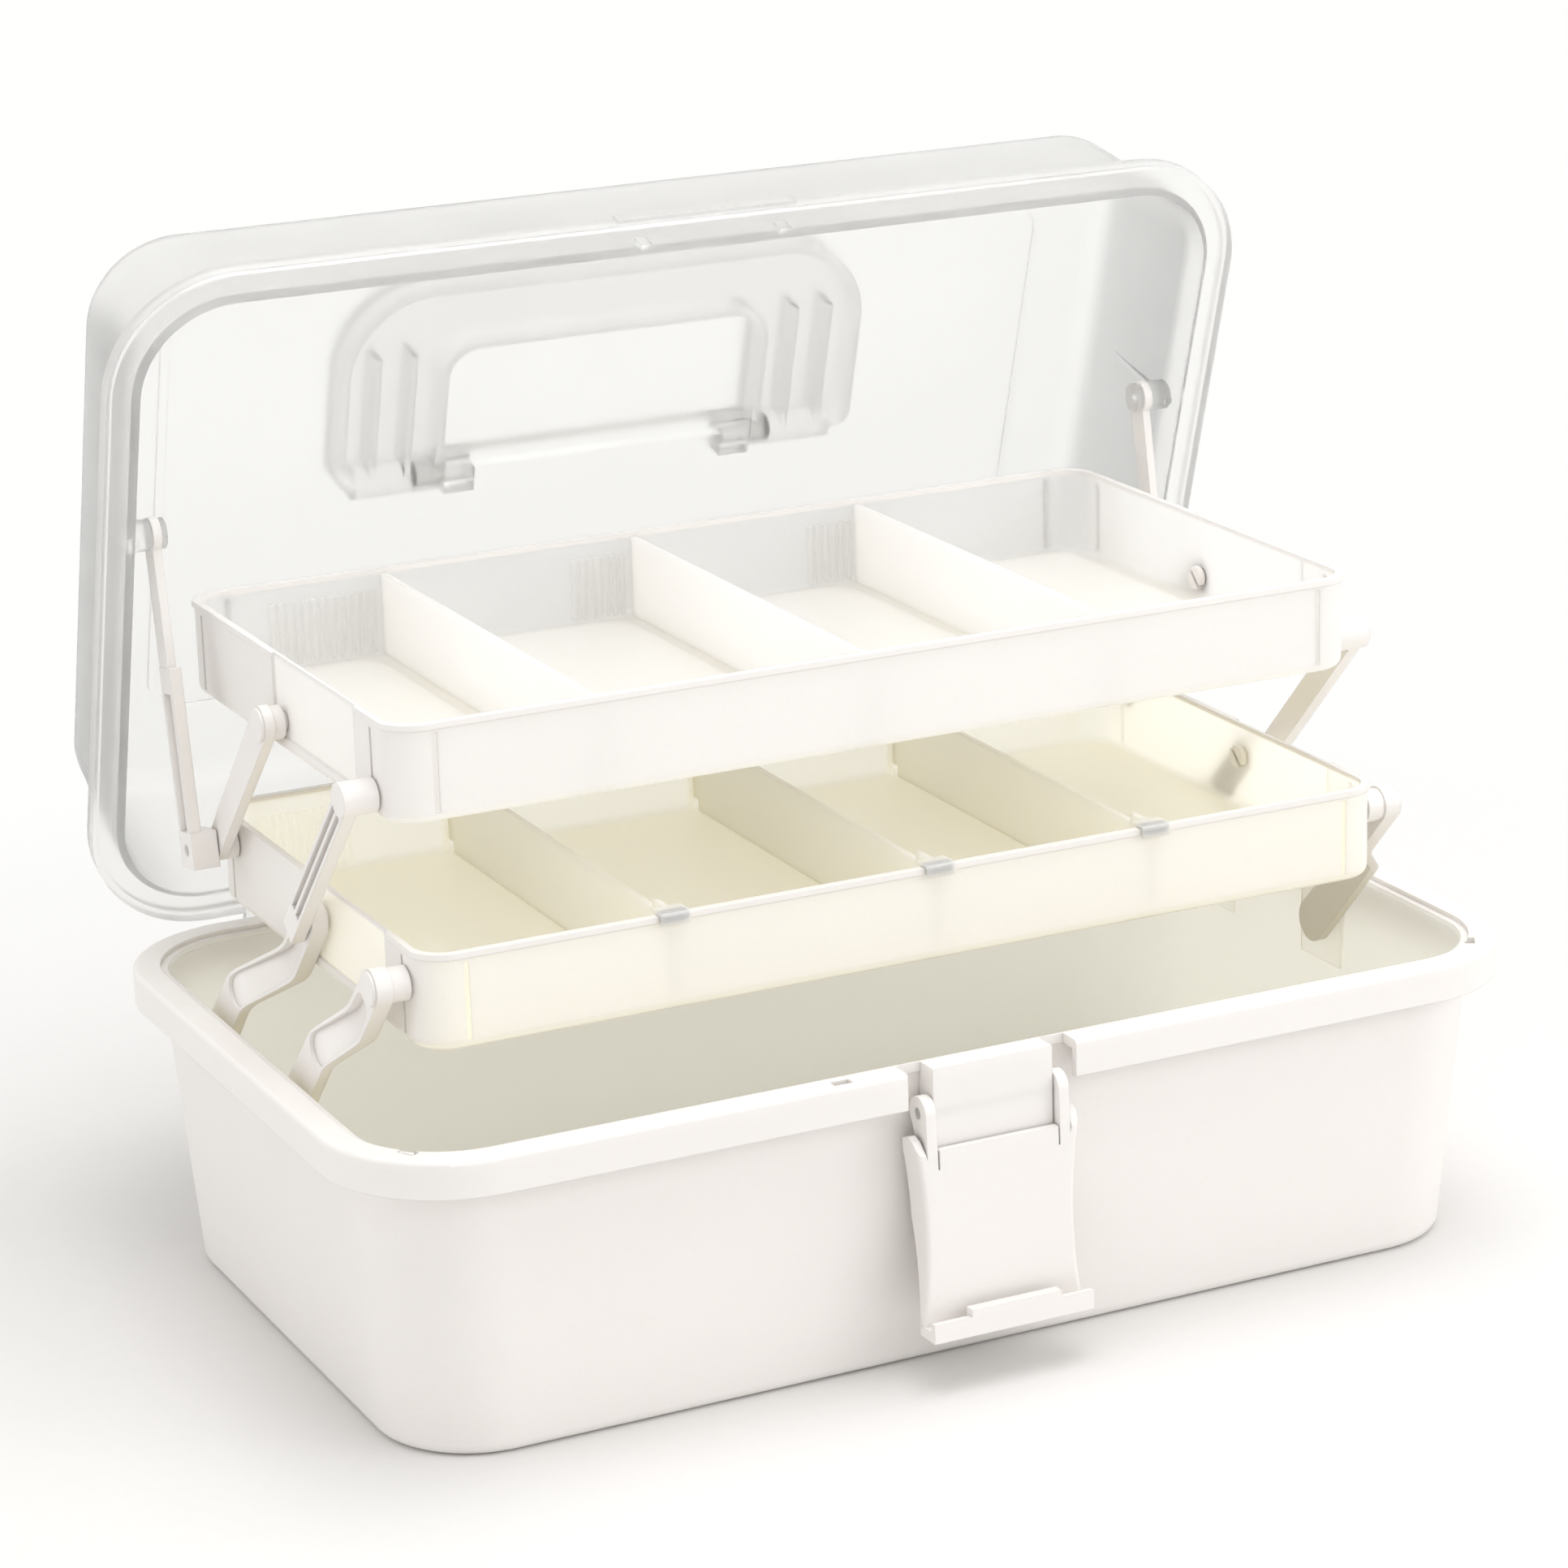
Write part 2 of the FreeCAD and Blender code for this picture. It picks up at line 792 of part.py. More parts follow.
def loose_divider(x):
    """Lift-out divider with a tab that hooks over the tray's front wall."""
    half_y = tray_half_y - tray_wall - lift_clearance
    z0 = lower_tray_bottom + tray_floor
    z1 = lower_tray_bottom + tray_height - divider_top_gap
    centre_y = lower_tray_y
    plate = box(
        x - divider_thickness / 2, x + divider_thickness / 2, centre_y - half_y, centre_y + half_y, z0, z1
    )
    notches = []
    for edge in (-1, 1):
        y = centre_y + edge * half_y
        notch = box(
            x - divider_thickness,
            x + divider_thickness,
            y - divider_foot_notch,
            y + divider_foot_notch,
            z0 - pass_by,
            z0 + divider_foot_notch,
        )
        notches.append(notch)
    plate = cut(plate, notches)
    tray_top = lower_tray_bottom + tray_height
    wall_front = centre_y - tray_half_y - tray_lip_width
    tab_y0 = wall_front - lift_clearance - divider_tab_thickness
    tab_top = box(
        x - divider_tab_width / 2,
        x + divider_tab_width / 2,
        tab_y0,
        centre_y - half_y + divider_tab_drop,
        tray_top,
        tray_top + divider_tab_thickness,
    )
    tab_front = box(
        x - divider_tab_width / 2,
        x + divider_tab_width / 2,
        tab_y0,
        tab_y0 + divider_tab_thickness,
        tray_top - divider_tab_drop,
        tray_top + divider_tab_thickness,
    )
    neck = box(
        x - divider_thickness / 2,
        x + divider_thickness / 2,
        centre_y - half_y,
        centre_y - half_y + divider_tab_neck,
        z1 - sink,
        tray_top + divider_tab_thickness,
    )
    return fuse([plate, tab_top, tab_front, neck])


# Folding arms, built along +Y from their lower pivot, for the right side
def tray_pin(y, outer_x):
    """Moulded pin from an arm through the tray wall, with a slotted snap head inside."""
    tip = snap_face - snap_head_length
    pin = rod_x(tip, outer_x, y, 0, pivot_pin_radius)
    head = rod_x(tip, snap_face, y, 0, snap_head_radius)
    half = snap_slot_width / 2
    reach = 2 * snap_head_radius
    slot = box(tip - pass_by, tray_half_x - tray_wall, y - half, y + half, -reach, reach)
    return cut(fuse([pin, head]), [slot])


def lower_arm(foot_length, layer):
    """Flat foot beside the base wall, a bend inwards, then a channel up to the tray."""
    bend_end = foot_length + jog_length
    layer_end = layer + channel_depth
    far = lower_arm_length + arm_end_radius
    near = -foot_radius
    outside = foot_outer + pass_by
    plate = (
        (foot_outer, near, edge_radius),
        (foot_outer, foot_length, bend_radius),
        (layer_end, bend_end, bend_radius),
        (layer_end, far, edge_radius),
        (layer, far, edge_radius),
        (layer, bend_end, bend_radius),
        (foot_inner, foot_length, bend_radius),
        (foot_inner, near, edge_radius),
    )
    hollow = (
        (foot_inner + web_plate, near, edge_radius),
        (foot_inner + web_plate, foot_length, bend_radius),
        (layer + web_plate, bend_end, bend_radius),
        (layer + web_plate, far, edge_radius),
        (outside, far, edge_radius),
        (outside, near, edge_radius),
    )
    solids = []
    for profile in (plate, hollow):
        solid = outline_face(profile).extrude(V(0, 0, 2 * foot_radius))
        solid.translate(V(0, 0, -foot_radius))
        solids.append(solid)
    plan = tapered_bar_x(lower_arm_length, foot_radius, arm_end_radius, layer - pass_by, outside)
    top_radius = arm_end_radius - rib_plate
    run = lower_arm_length - knob_radius - rib_plate - top_radius - foot_length
    pocket = tapered_bar_x(run, foot_radius - rib_plate, top_radius, layer, outside)
    pocket.translate(V(0, foot_length, 0))
    arm = cut(solids[0].common(plan), [solids[1].common(pocket)])
    base_pin = rod_x(foot_inner, wall_at_pivot - sight_skin - side_clearance, 0, 0, pivot_pin_radius)
    return fuse([arm, base_pin])


def front_lower_arm():
    """Its channel stands off the tray on a round knob."""
    top = lower_arm_length
    layer_end = outer_layer + channel_depth
    knob = rod_x(inner_layer, layer_end + knob_proud, top, 0, knob_radius)
    arm = fuse([lower_arm(front_foot_length, outer_layer), knob, tray_pin(top, layer_end)])
    return placed(arm, front_pivot_y, base_pivot_z, lower_arm_angle)


def rear_lower_arm():
    """Its channel lies beside the tray, bored for the pin of the upper front link."""
    radius = pivot_pin_radius + running_clearance
    bore = rod_x(inner_layer - pass_by, outer_layer, lower_arm_length, 0, radius)
    arm = cut(lower_arm(rear_foot_length, inner_layer), [bore])
    return placed(arm, rear_pivot_y, base_pivot_z, lower_arm_angle)


def upper_front_link():
    """Channel with a middle rib, square at its lower end and on a round knob at the top."""
    top = upper_arm_length
    half = front_link_width / 2
    face = outer_layer + front_link_depth
    beam = box(outer_layer, face, -front_link_foot, top, -half, half)
    pocket_width = (front_link_width - 3 * front_link_rib) / 2
    pockets = []
    for z0 in (front_link_rib - half, front_link_rib / 2):
        start = front_link_foot + front_link_rib
        end = top - knob_radius - front_link_rib
        pockets.append(box(outer_layer + web_plate, face + pass_by, start, end, z0, z0 + pocket_width))
    knob = rod_x(inner_layer, face + knob_proud, top, 0, knob_radius)
    link = fuse([cut(beam, pockets), knob, tray_pin(0, face), tray_pin(top, face)])
    return placed(link, mid_tray_y, mid_tray_z, upper_arm_angle)


def upper_rear_arm():
    """Flat blade held off the trays by a round knob at each end, narrower at the tail."""
    top = upper_arm_length
    blade = tapered_bar_x(top, blade_tail_radius, arm_end_radius, blade_inner, blade_outer)
    knob = rod_x(inner_layer, blade_outer + knob_proud, top, 0, knob_radius)
    hub = rod_x(inner_layer, blade_outer, 0, 0, blade_tail_radius)
    radius = pivot_pin_radius + running_clearance
    bore = rod_x(inner_layer - pass_by, blade_outer + pass_by, 0, 0, radius)
    arm = cut(fuse([blade, knob, hub, tray_pin(top, blade_outer)]), [bore])
    return placed(arm, link_foot_y, link_foot_z, upper_arm_angle)


def lid_link():
    """Long bar from the lower tray's rear pivot up to the lid, channelled in its lower part."""
    length = math.hypot(link_top_y - link_foot_y, link_top_z - link_foot_z)
    angle = math.degrees(math.atan2(link_top_z - link_foot_z, link_top_y - link_foot_y))
    crank_end = length * (1 - link_jog_share)
    crank_start = crank_end - link_jog_length
    half = link_bar_width / 2
    foot = link_foot_half
    foot_block = box(blade_outer + side_clearance, link_outer, -foot, foot, -foot, foot)
    dimple = rod_x(link_outer - link_dimple_depth, link_outer + pass_by, 0, 0, link_dimple_radius)
    bar = box(link_inner, link_outer, 0, crank_end, -half, half)
    pocket = box(
        link_inner + web_plate, link_outer + pass_by, foot, crank_start, rib_plate - half, half - rib_plate
    )
    top_bar = box(link_top_inner, link_top_outer, crank_start, length, -half, link_top_width - half)
    hole = lid_stub_radius + open_pivot_clearance
    eye = rod_x(link_top_inner, link_top_outer, length, 0, hole + link_eye_wall)
    bore = rod_x(link_inner - pass_by, link_outer + pass_by, length, 0, hole)
    solids = [foot_block, cut(bar, [pocket]), top_bar, eye, tray_pin(0, link_outer - link_dimple_depth)]
    link = cut(fuse(solids), [bore, dimple])
    return placed(link, link_foot_y, link_foot_z, angle)


# Lid, built closed and then swung open about the rear hinge
def opened(shape):
    moved = shape.copy()
    moved.rotate(V(0, hinge_y, hinge_z), V(1, 0, 0), -lid_open_angle)
    return moved


def lid_body():
    low_half_x = lid_half_x - lid_rim_overhang
    low_half_y = lid_half_y - lid_rim_overhang
    top_half_x = lid_half_x - lid_end_inset
    top_half_y = lid_half_y - (lid_front_inset + lid_rear_inset) / 2
    top_shift = (lid_front_inset - lid_rear_inset) / 2
    low_radius = rim_corner_radius - lid_rim_overhang
    outer = tapered_block(
        (low_half_x, low_half_y, low_radius, lid_seat_z, lid_centre_y),
        (top_half_x, top_half_y, lid_top_corner_radius, lid_top_z, lid_centre_y + top_shift),
    )
    outer = outer.makeFillet(lid_edge_radius, level_edges(outer, lid_top_z))
    inner = tapered_block(
        (low_half_x - lid_wall, low_half_y - lid_wall, low_radius - lid_wall, lid_seat_z, lid_centre_y),
        (
            top_half_x - lid_wall,
            top_half_y - lid_wall,
            lid_top_corner_radius - lid_wall,
            lid_top_z - lid_wall,
            lid_centre_y + top_shift,
        ),
    )
    inner = inner.makeFillet(lid_edge_radius - lid_wall, level_edges(inner, lid_top_z - lid_wall))
    rim = rounded_block(
        lid_half_x, lid_half_y, rim_corner_radius, lid_seat_z, lid_seat_z + lid_rim_plate, lid_centre_y
    )
    bead = rounded_block(
        lid_half_x, lid_half_y, rim_corner_radius, lid_seat_z, lid_seat_z + lid_bead_height + lid_rim_plate,
        lid_centre_y,
    )
    bead_hole = rounded_block(
        lid_half_x - lid_wall,
        lid_half_y - lid_wall,
        rim_corner_radius - lid_wall,
        lid_seat_z - pass_by,
        lid_top_z,
        lid_centre_y,
    )
    return cut(fuse([outer, rim, cut(bead, [bead_hole])]), [inner])


def lid_panel():
    """Raised panel in the lid's top: the outer pad and the matching recess inside."""
    panel_y0 = lid_centre_y - lid_half_y + panel_front_margin
    panel_y1 = lid_centre_y + lid_half_y - panel_rear_margin
    half_y = (panel_y1 - panel_y0) / 2
    centre_y = (panel_y0 + panel_y1) / 2
    pad = rounded_block(
        panel_half_length, half_y, panel_corner_radius, lid_top_z - sink, lid_top_z + panel_step, centre_y
    )
    recess = rounded_block(
        panel_half_length - lid_wall,
        half_y - lid_wall,
        panel_corner_radius - lid_wall,
        lid_top_z - lid_wall - sink,
        lid_top_z - lid_wall + panel_step,
        centre_y,
    )
    return pad, recess


def lid_link_seat():
    """Boss, stub pin and its head for the lid link, and the rib above them."""
    wall_x = lid_half_x - lid_rim_overhang
    boss_face = link_top_outer + side_clearance
    head_x = link_top_inner - side_clearance
    tip = head_x - lid_stub_head_length
    boss = rod_x(boss_face, wall_x - lid_rib_root, lid_seat_y, lid_seat_height, lid_boss_radius)
    stub = rod_x(tip, boss_face + sink, lid_seat_y, lid_seat_height, lid_stub_radius)
    head = rod_x(tip, head_x, lid_seat_y, lid_seat_height, lid_stub_head)
    slope = (lid_end_inset - lid_rim_overhang) / lid_height
    low = lid_seat_z + lid_rib_bottom
    high = lid_seat_z + lid_rib_top
    y = lid_seat_y - lid_rib_width / 2
    corners = [
        V(wall_x - lid_rib_root - slope * lid_rib_bottom, y, low),
        V(wall_x - lid_wall - lid_rib_depth, y, low),
        V(wall_x - lid_wall - slope * lid_rib_top, y, high),
        V(wall_x - lid_rib_root - slope * lid_rib_top, y, high),
    ]
    rib = Part.Face(Part.makePolygon(corners + corners[:1])).extrude(V(0, lid_rib_width, 0))
    seat = fuse([boss, stub, head, rib])
    return [seat, mirrored(seat)]


def lid_catch():
    """Ledge on the front of the rim for the latch, with two prongs that enter its slots."""
    front = lid_centre_y - lid_half_y
    rim_top = lid_seat_z + lid_rim_plate
    ledge = box(
        -catch_half_width,
        catch_half_width,
        front - catch_depth,
        front + lid_wall,
        rim_top - sink,
        rim_top + catch_height,
    )
    pieces = [ledge]
    for side in (-1, 1):
        centre = side * (tongue_half_width + latch_slot_width / 2)
        x0 = centre - prong_width / 2
        y0 = front + prong_setback
        prong = box(
            x0, x0 + prong_width, y0, y0 + prong_thickness, lid_seat_z - prong_height, lid_seat_z + pass_by
        )
        pieces.append(prong)
    return pieces


def lid_hinge_lugs():
    """One knuckle at each rear hinge, on a leaf from the lid's rim."""
    lugs = []
    root = lid_centre_y + lid_half_y - hinge_leaf_root
    rim_top = lid_seat_z + lid_rim_plate
    back = hinge_y + hinge_barrel_radius
    profile = (
        (root, lid_seat_z),
        (root, rim_top),
        (hinge_y + hinge_leaf_shoulder, rim_top),
        (back, hinge_z + hinge_leaf_shoulder),
        (back, hinge_z),
        (hinge_y - hinge_leaf_shoulder, hinge_z),
        (hinge_y - hinge_leaf_shoulder, lid_seat_z),
    )
    for side in (-1, 1):
        centre = side * hinge_x
        lugs.append(hinge_barrel(centre, hinge_middle))
        lugs.append(polygon_x(profile, centre - hinge_middle / 2, centre + hinge_middle / 2))
    return lugs


def lid_pin_bores():
    radius = hinge_pin_radius + running_clearance
    bores = []
    for side in (-1, 1):
        centre = side * hinge_x
        bores.append(rod_x(centre - hinge_middle, centre + hinge_middle, hinge_y, hinge_z, radius))
    return bores


def handle_pivot():
    """Place of the handle's hinge line on the closed lid."""
    rear = lid_centre_y + lid_half_y
    return rear - handle_pivot_s, lid_top_z + panel_step + handle_lift + handle_thickness / 2


def handle_rod(side, start, stop, radius):
    """Rod on the handle's hinge line, between two distances from the middle."""
    y, z = handle_pivot()
    x0, x1 = sorted((side * start, side * stop))
    return rod_x(x0, x1, y, z, radius)


def handle_blocks():
    """Pivot blocks and the bar between them, on top of the lid."""
    y, z = handle_pivot()
    bar_y = y - bridge_offset
    low = lid_top_z + panel_step - sink
    outer = handle_leg_root_half - pivot_block_gap
    inner = outer - pivot_block_length
    half = pivot_block_width / 2
    pieces = []
    for side in (-1, 1):
        x0, x1 = sorted((side * outer, side * inner))
        pieces.append(box(x0, x1, y - half, y + half, low, z))
        pieces.append(handle_rod(side, inner, outer, half))
    pieces.append(
        box(
            -outer,
            outer,
            bar_y - bridge_width / 2,
            bar_y + bridge_width / 2,
            low,
            low + bridge_height,
        )
    )
    return pieces


def handle_pin_bores():
    radius = handle_pin_radius + running_clearance
    inner = handle_leg_root_half - handle_pin_engage - handle_pin_tail - pass_by
    return [handle_rod(side, inner, handle_leg_root_half + pass_by, radius) for side in (-1, 1)]


def make_lid():
    pad, recess = lid_panel()
    shape = cut(fuse([lid_body(), pad]), [recess])
    shape = fuse([shape] + lid_link_seat() + lid_catch() + lid_hinge_lugs() + handle_blocks())
    shape = cut(shape, lid_pin_bores() + handle_pin_bores())
    return opened(shape)


# Handle
def handle_outline(inset):
    """Outline of the folded handle seen from above, drawn in by inset."""
    y, _ = handle_pivot()
    rear = y - inset
    front = y - handle_outer_edge + inset
    inner_front = y - handle_inner_edge - inset
    outer = handle_half_length - inset
    root = handle_leg_root_half + inset
    right = [
        (root, rear, handle_root_corner),
        (outer, rear, handle_rear_corner),
        (outer, front, handle_front_corner - inset),
    ]
    left = [(-x, corner_y, radius) for x, corner_y, radius in reversed(right)]
    inner = [
        (-root, inner_front, handle_inner_corner + inset),
        (root, inner_front, handle_inner_corner + inset),
    ]
    return outline_face(right + left + inner)


def make_handle():
    """Moulded handle: a closed top with a rim round it and ribs down the legs underneath."""
    y, _ = handle_pivot()
    low = lid_top_z + panel_step + handle_lift
    high = low + handle_thickness
    outer = handle_outline(0.0).extrude(V(0, 0, handle_thickness))
    outer.translate(V(0, 0, low))
    hollow = handle_outline(handle_shell).extrude(V(0, 0, handle_thickness - handle_shell + pass_by))
    hollow.translate(V(0, 0, low - pass_by))
    added = []
    leg_width = handle_half_length - handle_leg_root_half
    for side in (-1, 1):
        for share in (1, 2):
            x = side * (handle_leg_root_half + share * leg_width / 3)
            front = y - handle_inner_edge
            added.append(
                box(x - handle_rib / 2, x + handle_rib / 2, front, y, low, high - handle_rib_drop)
            )
        sleeve_end = handle_half_length - handle_sleeve_inset
        added.append(handle_rod(side, handle_leg_root_half, sleeve_end, handle_thickness / 2))
    shape = fuse([cut(outer, [hollow])] + added)
    bores = []
    for side in (-1, 1):
        stop = handle_leg_root_half + handle_pin_engage
        bores.append(handle_rod(side, handle_leg_root_half - pass_by, stop, handle_pin_radius))
    return opened(cut(shape, bores))


def handle_pin():
    start = handle_leg_root_half - handle_pin_engage - handle_pin_tail
    return opened(handle_rod(1, start, handle_leg_root_half + handle_pin_engage, handle_pin_radius))


def hinge_pin():
    half = hinge_span / 2 - sink
    return rod_x(hinge_x - half, hinge_x + half, hinge_y, hinge_z, hinge_pin_radius)


# Latch, built hanging upright about its pivot and then tilted outwards
def lever_block(inset, y0, y1):
    """Waisted front outline of the lever, drawn in by inset, from y0 to y1."""
    top = -latch_flange_top
    bottom = -latch_drop
    middle = (top + bottom) / 2
    sides = []
    for side in (1, -1):
        flare = V(side * (latch_flare - inset), y0, top)
        waist = V(side * (latch_waist - inset), y0, middle)
        foot = V(side * (latch_bottom - inset), y0, bottom)
        sides.append((flare, waist, foot))
    right, left = sides
    edges = [
        Part.Arc(*right).toShape(),
        Part.LineSegment(right[2], left[2]).toShape(),
        Part.Arc(*reversed(left)).toShape(),
        Part.LineSegment(left[0], right[0]).toShape(),
    ]
    return Part.Face(Part.Wire(edges)).extrude(V(0, y1 - y0, 0))


def lever_flanges(front, back):
    """Side walls of the lever, rounded at the top and fading out towards the bottom."""
    far = front + latch_flange_depth
    top = -latch_flange_top
    bottom = -latch_drop
    side_view = polygon_x(
        (
            (front, bottom),
            (front, top - latch_flange_depth / 2),
            (front + latch_flange_depth / 4, top - latch_flange_depth / 8),
            (front + latch_flange_depth / 2, top),
            (far - latch_flange_depth / 8, top - latch_flange_depth / 8),
            (far, top - latch_flange_depth / 2),
            (far, bottom / 2),
            (back, bottom),
        ),
        -latch_flare,
        latch_flare,
    )
    outer = lever_block(0.0, front, far)
    upright = [edge for edge in outer.Edges if edge.BoundBox.YMax < front + edge_radius]
    upright = [edge for edge in upright if edge.BoundBox.ZLength > latch_flange_depth]
    outer = outer.makeFillet(latch_edge_radius, upright)
    walls = cut(outer, [lever_block(latch_flange, front - pass_by, far + pass_by)])
    return walls.common(side_view)


def lever_ledge(front, back):
    """Finger ledge along the bottom, with a lip that is higher in the middle."""
    middle = -latch_drop
    low = middle - latch_ledge_height / 2
    high = middle + latch_ledge_height / 2
    edge = front - latch_ledge_reach
    shelf = box(-latch_bottom, latch_bottom, edge, back, low, high)
    lip = box(-latch_bottom, latch_bottom, edge, edge + latch_lip_plate, low, high + latch_lip_height)
    step_top = high + latch_lip_height + latch_step_height
    step = box(-latch_step_left, latch_step_right, edge, edge + 2 * latch_lip_plate, low, step_top)
    return [shelf, lip, step]


def lever_ears(front, back):
    """Two ears that carry the lever on its pin."""
    pieces = []
    top = -latch_plate_top
    profile = (
        (-ear_radius, 0.0),
        (front, top - ear_radius),
        (front, -ear_foot),
        (back, -ear_foot),
        (ear_radius, 0.0),
    )
    for side in (-1, 1):
        inner = side * (tongue_half_width + ear_gap)
        x0, x1 = sorted((inner, inner + side * ear_thickness))
        pieces += [polygon_x(profile, x0, x1), rod_x(x0, x1, 0, 0, ear_radius)]
    return pieces


def latch_lever():
    back = -latch_plate_offset
    front = back - latch_plate
    plate = lever_block(latch_edge_radius, front, back)
    half = tongue_half_width
    above = box(-base_half_x, base_half_x, front - pass_by, back + pass_by, -latch_plate_top, 0.0)
    slits = [above]
    for side in (-1, 1):
        x0, x1 = sorted((side * half, side * base_half_x))
        slits.append(box(x0, x1, front - pass_by, back + pass_by, -latch_slit_depth, 0.0))
    solids = [cut(plate, slits), lever_flanges(front, back)]
    solids += lever_ledge(front, back) + lever_ears(front, back)
    radius = latch_pin_radius + running_clearance
    bore = rod_x(-latch_flare, latch_flare, 0, 0, radius)
    return placed(cut(fuse(solids), [bore]), latch_pivot_y, latch_pivot_z, -latch_tilt)


def latch_pin():
    half = tongue_half_width + ear_gap + ear_thickness - latch_pin_short
    return rod_x(-half, half, latch_pivot_y, latch_pivot_z, latch_pin_radius)


os.makedirs("parts", exist_ok=True)
save("base_box", make_base())
save("lower_tray", make_lower_tray())
save("upper_tray", make_upper_tray())
save("lid_shell", make_lid())
save("carry_handle", make_handle())
save_pair("handle_pin", handle_pin())
save_pair("lid_hinge_pin", hinge_pin())
save("latch_lever", latch_lever())
save("latch_pin", latch_pin())
save_pair("front_lower_arm", front_lower_arm())
save_pair("rear_lower_arm", rear_lower_arm())
save_pair("upper_front_link", upper_front_link())
save_pair("upper_rear_arm", upper_rear_arm())
save_pair("lid_link", lid_link())
divider_names = ("left_divider", "middle_divider", "right_divider")
for divider_name, divider_x in zip(divider_names, lower_divider_x):
    save(divider_name, loose_divider(divider_x))
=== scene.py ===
import bmesh
import bpy
from mathutils import Matrix, Vector


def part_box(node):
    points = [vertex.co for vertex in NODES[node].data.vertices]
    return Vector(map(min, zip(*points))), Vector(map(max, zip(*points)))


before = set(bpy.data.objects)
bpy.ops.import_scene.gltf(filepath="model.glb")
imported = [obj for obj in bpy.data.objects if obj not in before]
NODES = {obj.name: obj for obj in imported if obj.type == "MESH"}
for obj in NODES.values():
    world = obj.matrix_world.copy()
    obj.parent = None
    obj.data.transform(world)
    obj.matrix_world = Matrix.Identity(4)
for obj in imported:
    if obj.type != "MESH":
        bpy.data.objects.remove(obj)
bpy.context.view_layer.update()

# Craft organizer box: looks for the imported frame. Metres, in the frame of the CAD model.
MM = 0.001

# Camera, fitted to the photograph
PHOTO_SIDE = 1932
FOCAL_PIXELS = 5898
SENSOR = 36.0
CAMERA_PLACE = Vector((-0.5249, -1.0810, 0.4962))
CAMERA_FORWARD = Vector((0.4130, 0.8621, -0.2935))
CAMERA_UP = Vector((0.1538, 0.2516, 0.9555))

# Plastic colours, linear
WHITE = (0.91, 0.88, 0.855)
WHITE_SHADE = (0.90, 0.868, 0.843)
# Painted warm light: the room tints stand in for warm light bouncing inside box and trays; the tray
# tints also give the dividers their colour
BOX_PAINTED_WARM_LIGHT = (0.95, 0.915, 0.77)
TRAY_CREAM_AND_PAINTED_WARM_LIGHT = (0.99, 0.96, 0.81)
TRAY_PALE_AND_PAINTED_WARM_LIGHT = (0.93, 0.90, 0.86)
CLEAR = (1.0, 0.997, 0.99)
# Painted grey shade for the lid's end walls seen edge-on
PAINTED_EDGE_SHADE = (0.72, 0.72, 0.715)
# Painted glow colour, emitted by the faces of the rooms
PAINTED_GLOW_COLOUR = (1.0, 0.94, 0.74)
STEEL = (0.60, 0.60, 0.59)
BACKDROP = (1.0, 1.0, 0.985)
MILK = (0.985, 0.982, 0.975)
DARK_STEEL = (0.45, 0.45, 0.44)
FLOOR = (0.84, 0.83, 0.82)

# Lid at rest: y and z of its hinge, and the direction its top faces
LID_HINGE = (108.3 * MM, 80.8 * MM)
LID_AXIS = (0.954, 0.299)
# The lid's end walls start this far from its middle, and its rim ends between these heights; these bound
# the painted grey shade on the end walls
LID_END_WALL = 152.0 * MM
LID_RIM_END = (7.0 * MM, 10.0 * MM)

# Room of the bottom box, to the middle of its walls, as room_masks takes it
BOX_ROOM = (151.3 * MM, 86.3 * MM, 25.8 * MM, 0.0, 4.0 * MM, 1.3 * MM, 81.4 * MM, 0.0678)
TRAY_HALF_WALL = 0.9 * MM
TRAY_CORNER = 8.6 * MM

# Painted glow: emission strength on each room's faces, standing in for light that the walls pass into
# the room
BOX_PAINTED_GLOW = 0.07
UPPER_PAINTED_GLOW = 0.02
LOWER_PAINTED_GLOW = 0.20
ROOM_DEPTH = 22.0 * MM

# Floor: radius, and the ring over which it turns to plain white
FLOOR_RADIUS = 6.0
WHITE_RING = (0.24, 0.50)
FLOOR_DROP = -0.2 * MM

# Studio light: surround strength, and each lamp's place, size and power in watts
AMBIENT = (1.0, 0.995, 0.98)
AMBIENT_STRENGTH = 0.68
LAMP_AIM = (0.0, 0.0, 0.12)
LAMPS = {
    "overhead": ((0.1, -0.1, 1.5), (1.4, 1.1), 12.5),
    "front_right": ((1.2, -0.9, 0.5), (0.9, 0.6), 3.0),
    "front_high": ((0.80, -1.15, 0.80), (1.0, 0.5), 2.8),
    "left_fill": ((-1.5, 0.3, 0.5), (0.9, 0.9), 2.4),
}


